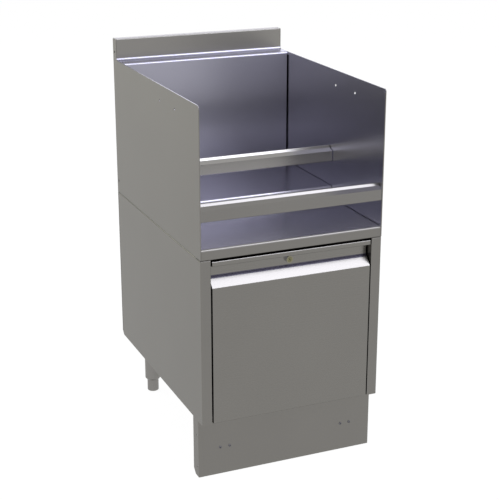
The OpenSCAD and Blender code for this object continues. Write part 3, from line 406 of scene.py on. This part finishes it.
FINISHES = {
    # Plain grey outside, and towards the station a smoother finish painted a lighter violet grey: painted
    # light standing in for the sheets mirroring each other there
    "side_panel": brushed_steel("satin_stainless_side_panel", SHEET_COLOUR, 0.34, ALONG_SIDES,
                                bay=(BAY_PAINTED_LIGHT, 0.26, PANEL_FOLD)),
    # The same smoother finish and painted light, a lighter violet grey, on the floor and step, with a plain
    # grey front flange
    "bay_sheet": brushed_steel("satin_stainless_bay_sheet", SHEET_COLOUR, 0.34, ACROSS_CABINET,
                               bay=(BAY_PAINTED_LIGHT, 0.26, FLOOR_FOLD)),
    # Inside the station a softer, slightly darker painted light than the floor's; the upstand above is
    # painted slightly lighter than the other sheets, standing in for light
    "back_wall": brushed_steel("satin_stainless_back_wall", "#868480", 0.34, ACROSS_CABINET,
                               bay=("#9f9eaa", 0.31, FLOOR_FOLD)),
    # Smoother rails with bright lines along their folds, and the upper one painted lighter than the lower,
    # standing in for light
    "upper_rail": brushed_steel("satin_stainless_upper_rail", "#94928f", 0.26, ACROSS_CABINET),
    "lower_rail": brushed_steel("satin_stainless_lower_rail", "#7c7a77", 0.26, ACROSS_CABINET),
    # A lighter box, which shows when the drawer is open
    "drawer_sheet": brushed_steel("satin_stainless_drawer_box", "#9c9b9d", 0.3, ALONG_SIDES),
    # Even warm grey on the kick plate, covers and hidden sheets
    "front_sheet": brushed_steel("satin_stainless_front_sheet", SHEET_COLOUR, 0.34, ACROSS_CABINET),
    # The pull-out front: its slope shines white, and along the fold at the recess's foot a dark band is
    # painted: painted shade and a painted reflection of the lip above
    "pull_out": brushed_steel("satin_stainless_pull_out", SHEET_COLOUR, 0.27, ACROSS_CABINET,
                              fold=(RECESS_PAINTED_SHADE, "#43414b")),
    # The body's sides, with painted shade along the fold under the seam, where the deck's flange shades it
    "body_side": brushed_steel("satin_stainless_body_side", SHEET_COLOUR, 0.34, ALONG_SIDES,
                               fold=(SEAM_PAINTED_SHADE, "#605f5c")),
    # Rivets ground flush with the side panels
    "panel_steel": brushed_steel("satin_stainless_sheet", SHEET_COLOUR, 0.34, ALONG_SIDES),
    # Legs and feet, turned, so that their marks run round them
    "leg_steel": brushed_steel("satin_stainless_tube", "#84827f", 0.3, ALONG_SIDES,
                               TURNING_GAP, TURNING_LENGTH),
    # Slides, brackets, bolts and clips: a cool, light grey with a soft shine
    "plated_steel": mottled_metal("zinc_plated_steel", "#a2a4a8", 0.3),
    # The kick plate's screws, which look darker than the plate
    "screw_steel": mottled_metal("dark_passivated_screw", "#69686c", 0.32),
    # Balls with sharp, small highlights
    "ball_steel": mottled_metal("polished_bearing_steel", "#b8bac0", 0.12),
    # A bright case whose face is worn to dull brass
    "lock_case": mottled_metal("nickel_and_brass_lock_case", "#b8b8bc", 0.28, 2.0, 3.0, worn="#827f6c"),
    # A dull yellow plug, greener than its case
    "lock_brass": mottled_metal("dull_brass", "#7f7c60", 0.3),
}

# The solids that take a finish of their own. The others take that of their material slot
OWN_FINISHES = {
    "side_panel": ("side_panel_left", "side_panel_right"),
    "bay_sheet": ("deck_pan", "rear_step"),
    "back_wall": ("back_splash",),
    "upper_rail": ("upper_rail",),
    "lower_rail": ("lower_rail",),
    "drawer_sheet": ("drawer_box",),
    "pull_out": ("drawer_front",),
    "body_side": ("body_side_left", "body_side_right"),
    "lock_case": ("lock_barrel",),
    "front_sheet": ("header", "drawer_liner", "kick_plate", "rear_cover", "body_back", "body_bottom"),
}


def dress_frame():
    """Gives every CAD solid its finish."""
    kinds = {part["node"]: part["material_slot"] for part in frame["record"]["subparts"]}
    kinds.update({node: kind for kind, nodes in OWN_FINISHES.items() for node in nodes})
    for node, solid in frame["nodes"].items():
        for held in solid.material_slots:
            held.material = FINISHES[kinds[node]]


SCREW_SIZES = ("Head diameter", "Head height", "Shank diameter", "Shank length", "Recess span",
               "Recess width", "Recess depth", "Thread pitch")

# What the screw tree works out: name, operation and two terms. A term is a number, an input of the tree, the
# X, Y or Z of a point of the shape that is being formed, or the name of a row above
SCREW_SUMS = (
    ("head radius", "DIVIDE", "Head diameter", 2.0),
    ("shank radius", "DIVIDE", "Shank diameter", 2.0),
    ("x squared", "MULTIPLY", "X", "X"),
    ("y squared", "MULTIPLY", "Y", "Y"),
    ("radius squared", "ADD", "x squared", "y squared"),
    ("radius", "SQRT", "radius squared", 0.0),

    # Pan head: a short rim under a dome that is highest on the axis
    ("rim height", "MULTIPLY", "Head height", 0.45),
    ("half rim", "DIVIDE", "rim height", 2.0),
    ("dome height", "SUBTRACT", "Head height", "rim height"),
    ("outward share", "DIVIDE", "radius", "head radius"),
    ("share squared", "MULTIPLY", "outward share", "outward share"),
    ("dome share", "SUBTRACT", 1.0, "share squared"),
    ("dome rise", "MULTIPLY", "dome height", "dome share"),
    ("on top", "GREATER_THAN", "Z", 0.0),
    ("top rise", "MULTIPLY", "on top", "dome rise"),
    ("rim z", "ADD", "Z", "half rim"),
    ("pan z", "ADD", "rim z", "top rise"),

    # Flush head: a cone with its face level with the sheet
    ("flush z", "SUBTRACT", "Z", "Head height"),

    # Shank: rings that narrow and swell once in each pitch. Its top overlaps a pan head, and stays just under
    # the face of a flush one
    ("double length", "MULTIPLY", "Shank length", 2.0),
    ("half turns", "DIVIDE", "double length", "Thread pitch"),
    ("rings", "ROUND", "half turns", 0.0),
    ("half length", "DIVIDE", "Shank length", 2.0),
    ("half pitch", "DIVIDE", "Thread pitch", 2.0),
    ("from tip", "ADD", "Z", "half length"),
    ("groove", "PINGPONG", "from tip", "half pitch"),
    ("groove share", "DIVIDE", "groove", "Thread pitch"),
    ("narrowing", "MULTIPLY", "groove share", 0.22),
    ("thread share", "SUBTRACT", 1.0, "narrowing"),
    ("thread x", "MULTIPLY", "X", "thread share"),
    ("thread y", "MULTIPLY", "Y", "thread share"),
    ("flush sinking", "MULTIPLY", "Flush", 0.002),
    ("shank share", "SUBTRACT", -0.499, "flush sinking"),
    ("shank drop", "MULTIPLY", "Shank length", "shank share"),
    ("shank z", "ADD", "Z", "shank drop"),

    # Arm of the cross recess: a block round the head's face, narrower at its bottom
    ("arm height", "MULTIPLY", "Recess depth", 2.0),
    ("depth share", "DIVIDE", "Z", "Recess depth"),
    ("widening", "MULTIPLY", "depth share", 0.45),
    ("arm share", "ADD", "widening", 1.0),
    ("arm x", "MULTIPLY", "X", "arm share"),
    ("arm y", "MULTIPLY", "Y", "arm share"),
    ("raised", "SUBTRACT", 1.0, "Flush"),
    ("face z", "MULTIPLY", "Head height", "raised"),
    ("arm z", "ADD", "Z", "face z"),
)

# The screw's shapes: name, kind of mesh, its sizes, and where its points go
SCREW_SHAPES = (
    ("pan head", "GeometryNodeMeshCylinder",
     {"Vertices": 40, "Side Segments": 1, "Fill Segments": 5, "Radius": "head radius",
      "Depth": "rim height"},
     {"X": "X", "Y": "Y", "Z": "pan z"}),
    ("flush head", "GeometryNodeMeshCone",
     {"Vertices": 40, "Radius Top": "head radius", "Radius Bottom": "shank radius",
      "Depth": "Head height"},
     {"X": "X", "Y": "Y", "Z": "flush z"}),
    ("shank", "GeometryNodeMeshCylinder",
     {"Vertices": 24, "Side Segments": "rings", "Radius": "shank radius", "Depth": "Shank length"},
     {"X": "thread x", "Y": "thread y", "Z": "shank z"}),
    ("level arm", "GeometryNodeMeshCube", {"Size": "level arm size"},
     {"X": "arm x", "Y": "arm y", "Z": "arm z"}),
    ("upright arm", "GeometryNodeMeshCube", {"Size": "upright arm size"},
     {"X": "arm x", "Y": "arm y", "Z": "arm z"}),
)


def screw_tree():
    """Geometry Nodes: a cross-recess screw on every point, with its head towards the point's "aim"."""
    tree = bpy.data.node_groups.new("cross_recess_screws", "GeometryNodeTree")
    tree.is_modifier = True
    tree.interface.new_socket("Places", in_out="INPUT", socket_type="NodeSocketGeometry")
    for name in SCREW_SIZES:
        tree.interface.new_socket(name, in_out="INPUT", socket_type="NodeSocketFloat")
    tree.interface.new_socket("Flush", in_out="INPUT", socket_type="NodeSocketBool")
    tree.interface.new_socket("Seed", in_out="INPUT", socket_type="NodeSocketInt")
    tree.interface.new_socket("Finish", in_out="INPUT", socket_type="NodeSocketMaterial")
    tree.interface.new_socket("Screws", in_out="OUTPUT", socket_type="NodeSocketGeometry")
    given = add_node(tree, "NodeGroupInput").outputs
    point = add_node(tree, "GeometryNodeInputPosition").outputs[0]
    parts = add_node(tree, "ShaderNodeSeparateXYZ", {"Vector": point}).outputs

    known = {socket.name: socket for socket in (*given, *parts)}
    for name, operation, first, second in SCREW_SUMS:
        terms = {0: known.get(first, first), 1: known.get(second, second)}
        known[name] = add_node(tree, "ShaderNodeMath", terms, operation=operation).outputs[0]
    for name, wide, high in (("level arm size", "Recess span", "Recess width"),
                             ("upright arm size", "Recess width", "Recess span")):
        known[name] = add_node(tree, "ShaderNodeCombineXYZ",
                               {"X": known[wide], "Y": known[high], "Z": known["arm height"]}).outputs[0]
    made = {}
    for name, kind, sizes, place in SCREW_SHAPES:
        inputs = {size: known.get(term, term) for size, term in sizes.items()}
        rough = add_node(tree, kind, inputs).outputs["Mesh"]
        moved = add_node(tree, "ShaderNodeCombineXYZ", {axis: known[term] for axis, term in place.items()})
        made[name] = add_node(tree, "GeometryNodeSetPosition",
                              {"Geometry": rough, "Position": moved.outputs[0]}).outputs[0]

    head = add_node(tree, "GeometryNodeSwitch",
                    {"Switch": given["Flush"], "False": made["pan head"], "True": made["flush head"]},
                    input_type="GEOMETRY").outputs[0]
    screw = add_node(tree, "GeometryNodeMeshBoolean", operation="UNION", solver="EXACT")
    for shape in (head, made["shank"]):
        tree.links.new(shape, screw.inputs["Mesh 2"])
    cut = add_node(tree, "GeometryNodeMeshBoolean", {"Mesh 1": screw.outputs["Mesh"]},
                   operation="DIFFERENCE", solver="EXACT")
    for shape in (made["level arm"], made["upright arm"]):
        tree.links.new(shape, cut.inputs["Mesh 2"])

    aim = add_node(tree, "GeometryNodeInputNamedAttribute", {"Name": "aim"},
                   data_type="FLOAT_VECTOR").outputs[0]
    facing = add_node(tree, "FunctionNodeAlignRotationToVector", {"Vector": aim}, axis="Z").outputs[0]
    turn = add_node(tree, "FunctionNodeRandomValue", {3: math.tau, "Seed": given["Seed"]},
                    data_type="FLOAT").outputs[1]
    spin = add_node(tree, "FunctionNodeAxisAngleToRotation", {"Axis": (0, 0, 1), "Angle": turn}).outputs[0]
    turned = add_node(tree, "FunctionNodeRotateRotation", {"Rotation": facing, "Rotate By": spin},
                      rotation_space="LOCAL").outputs[0]
    placed = add_node(tree, "GeometryNodeInstanceOnPoints",
                      {"Points": given["Places"], "Instance": cut.outputs["Mesh"],
                       "Rotation": turned}).outputs[0]
    real = add_node(tree, "GeometryNodeRealizeInstances", {"Geometry": placed}).outputs[0]
    finished = add_node(tree, "GeometryNodeSetMaterial",
                        {"Geometry": real, "Material": given["Finish"]}).outputs[0]
    add_node(tree, "NodeGroupOutput", {"Screws": finished})
    return tree


def settle(piece):
    """Turns what a piece's modifiers make into its own plain mesh, and drops the modifiers."""
    evaluated = piece.evaluated_get(bpy.context.evaluated_depsgraph_get())
    mesh = bpy.data.meshes.new_from_object(evaluated)
    piece.modifiers.clear()
    piece.data = mesh
    mesh.name = piece.name


def give_finish(piece, material):
    """Leaves the piece with one material on all of its faces."""
    piece.data.materials.clear()
    piece.data.materials.append(material)
    piece.data.polygons.foreach_set("material_index", [0] * len(piece.data.polygons))


def new_piece(name, mesh):
    piece = bpy.data.objects.new(name, mesh)
    bpy.context.collection.objects.link(piece)
    return piece


def screw_sizes(head_d, head_h, shank_d, shank_l, flush=False):
    """The screw tree's inputs for one size of screw, in millimetres."""
    return {"Head diameter": head_d, "Head height": head_h,
            "Shank diameter": shank_d, "Shank length": shank_l,
            "Recess span": head_d * RECESS_SPAN, "Recess width": head_d * RECESS_WIDTH,
            "Recess depth": min(RECESS_LIMIT, head_h * RECESS_DEPTH), "Thread pitch": THREAD_PITCH,
            "Flush": flush}


def put_screws(name, node, body, places, sizes, finish="plated_steel"):
    """One piece of equal screws. places has the seat of each head and the direction that it faces."""
    mesh = bpy.data.meshes.new(name)
    mesh.from_pydata([seat for seat, aim in places], [], [])
    held = mesh.attributes.new("aim", "FLOAT_VECTOR", "POINT")
    for i, (seat, aim) in enumerate(places):
        held.data[i].vector = aim
    piece = new_piece(name, mesh)
    modifier = piece.modifiers.new("screws", "NODES")
    modifier.node_group = SCREWS
    values = {**sizes, "Finish": FINISHES[finish], "Seed": len(places)}
    for socket in SCREWS.interface.items_tree:
        if socket.in_out == "INPUT" and socket.name in values:
            value = values[socket.name]
            in_metres = socket.socket_type == "NodeSocketFloat"
            modifier[socket.identifier] = value * MM if in_metres else value
    settle(piece)
    give_finish(piece, FINISHES[finish])
    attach(piece, body)
    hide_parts(node)


def make_kick_plate_screws():
    """Four small pan-head screws that hold the kick plate to its two clips."""
    sizes = screw_sizes(*KICK_SCREW)
    low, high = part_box("kick_screws")
    far = high.x - sizes["Head diameter"] / 2 * MM
    near = far - KICK_PAIR * MM
    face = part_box("kick_plate")[0].y
    middle = (low.z + high.z) / 2
    put_screws("kick_plate_screws", "kick_screws", "cabinet",
               [((x, face, middle), FORWARD) for x in (-far, -near, near, far)],
               sizes, "screw_steel")


def make_rear_sheet_screws():
    """Flush screws down both edges of the body's back sheet and of the station's rear cover."""
    sizes = screw_sizes(*REAR_SCREW, flush=True)
    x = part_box("rear_screws")[1].x - sizes["Head diameter"] / 2 * MM
    end = REAR_SCREW_END * MM
    heights = [z for foot, top in ((LEG_TOP, SEAM), (SEAM, TOP))
               for z in (foot + end, (foot + top) / 2, top - end)]
    put_screws("rear_sheet_screws", "rear_screws", "cabinet",
               [((side * x, REAR, z), REARWARD) for side in (-1, 1) for z in heights], sizes)


def make_drawer_box_screws():
    """Four pan-head screws from inside the drawer box into the pull-out front."""
    sizes = screw_sizes(*BOX_SCREW)
    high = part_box("box_screws")[1]
    x = high.x - sizes["Head diameter"] / 2 * MM
    seat = high.y - sizes["Head height"] * MM
    end = BOX_SCREW_END * MM
    heights = (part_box("drawer_box")[0].z + end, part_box("drawer_box")[1].z - end)
    put_screws("drawer_box_screws", "box_screws", "drawer",
               [((side * x, seat, z), REARWARD) for side in (-1, 1) for z in heights], sizes)


def make_slide_screws():
    """Low-head screws that hold the slides to their brackets and to the drawer box."""
    low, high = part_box("slide_outer_left")
    end = SLIDE_SCREW_END * MM
    depths = (low.y + end, (low.y + high.y) / 2, high.y - end)
    middle = (low.z + high.z) / 2
    sizes = screw_sizes(*BRACKET_SCREW)
    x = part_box("slide_screws")[1].x - sizes["Shank length"] * MM
    put_screws("slide_bracket_screws", "slide_screws", "cabinet",
               [((side * x, y, middle), (-side, 0, 0)) for side in (-1, 1) for y in depths], sizes)
    sizes = screw_sizes(*DRAWER_SCREW)
    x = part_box("drawer_slide_screws")[1].x - sizes["Head height"] * MM
    put_screws("drawer_side_screws", "drawer_slide_screws", "drawer",
               [((side * x, y, middle), (side, 0, 0)) for side in (-1, 1) for y in depths], sizes)


def lofted(name, rings):
    """A closed solid through rings of points, with the same number of points in each."""
    shape = bmesh.new()
    rows = [[shape.verts.new(point) for point in ring] for ring in rings]
    for near, far in zip(rows, rows[1:]):
        for k in range(len(near)):
            j = (k + 1) % len(near)
            shape.faces.new((near[k], near[j], far[j], far[k]))
    shape.faces.new(rows[0])
    shape.faces.new(rows[-1])
    bmesh.ops.recalc_face_normals(shape, faces=shape.faces)
    mesh = bpy.data.meshes.new(name)
    shape.to_mesh(mesh)
    shape.free()
    return new_piece(name, mesh)


def make_lock_plug():
    """Lock plug with a chamfered rim, a ring groove and a slanted keyway."""
    angles = [math.tau * k / PLUG_SIDES for k in range(PLUG_SIDES)]
    plug = lofted("keyed_lock_plug", [
        [LOCK + Vector((radius * math.cos(angle), -ahead, radius * math.sin(angle))) * MM for angle in angles]
        for radius, ahead in PLUG_OUTLINE])
    lean = Matrix.Rotation(math.radians(KEYWAY_LEAN), 3, "Y")
    keyway = lofted("keyway_cutter", [
        [LOCK + lean @ Vector((x, depth, z)) * MM for x, z in KEYWAY] for depth in KEYWAY_DEPTHS])
    cut = plug.modifiers.new("keyway", "BOOLEAN")
    cut.operation = "DIFFERENCE"
    cut.solver = "EXACT"
    cut.object = keyway
    settle(plug)
    bpy.data.objects.remove(keyway)
    give_finish(plug, FINISHES["lock_brass"])
    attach(plug, "lock_core")
    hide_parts("lock_plug")


SCREWS = screw_tree()

make_camera()
make_studio()
dress_frame()
make_kick_plate_screws()
make_rear_sheet_screws()
make_drawer_box_screws()
make_slide_screws()
make_lock_plug()

bpy.context.scene.view_settings.view_transform = "Standard"
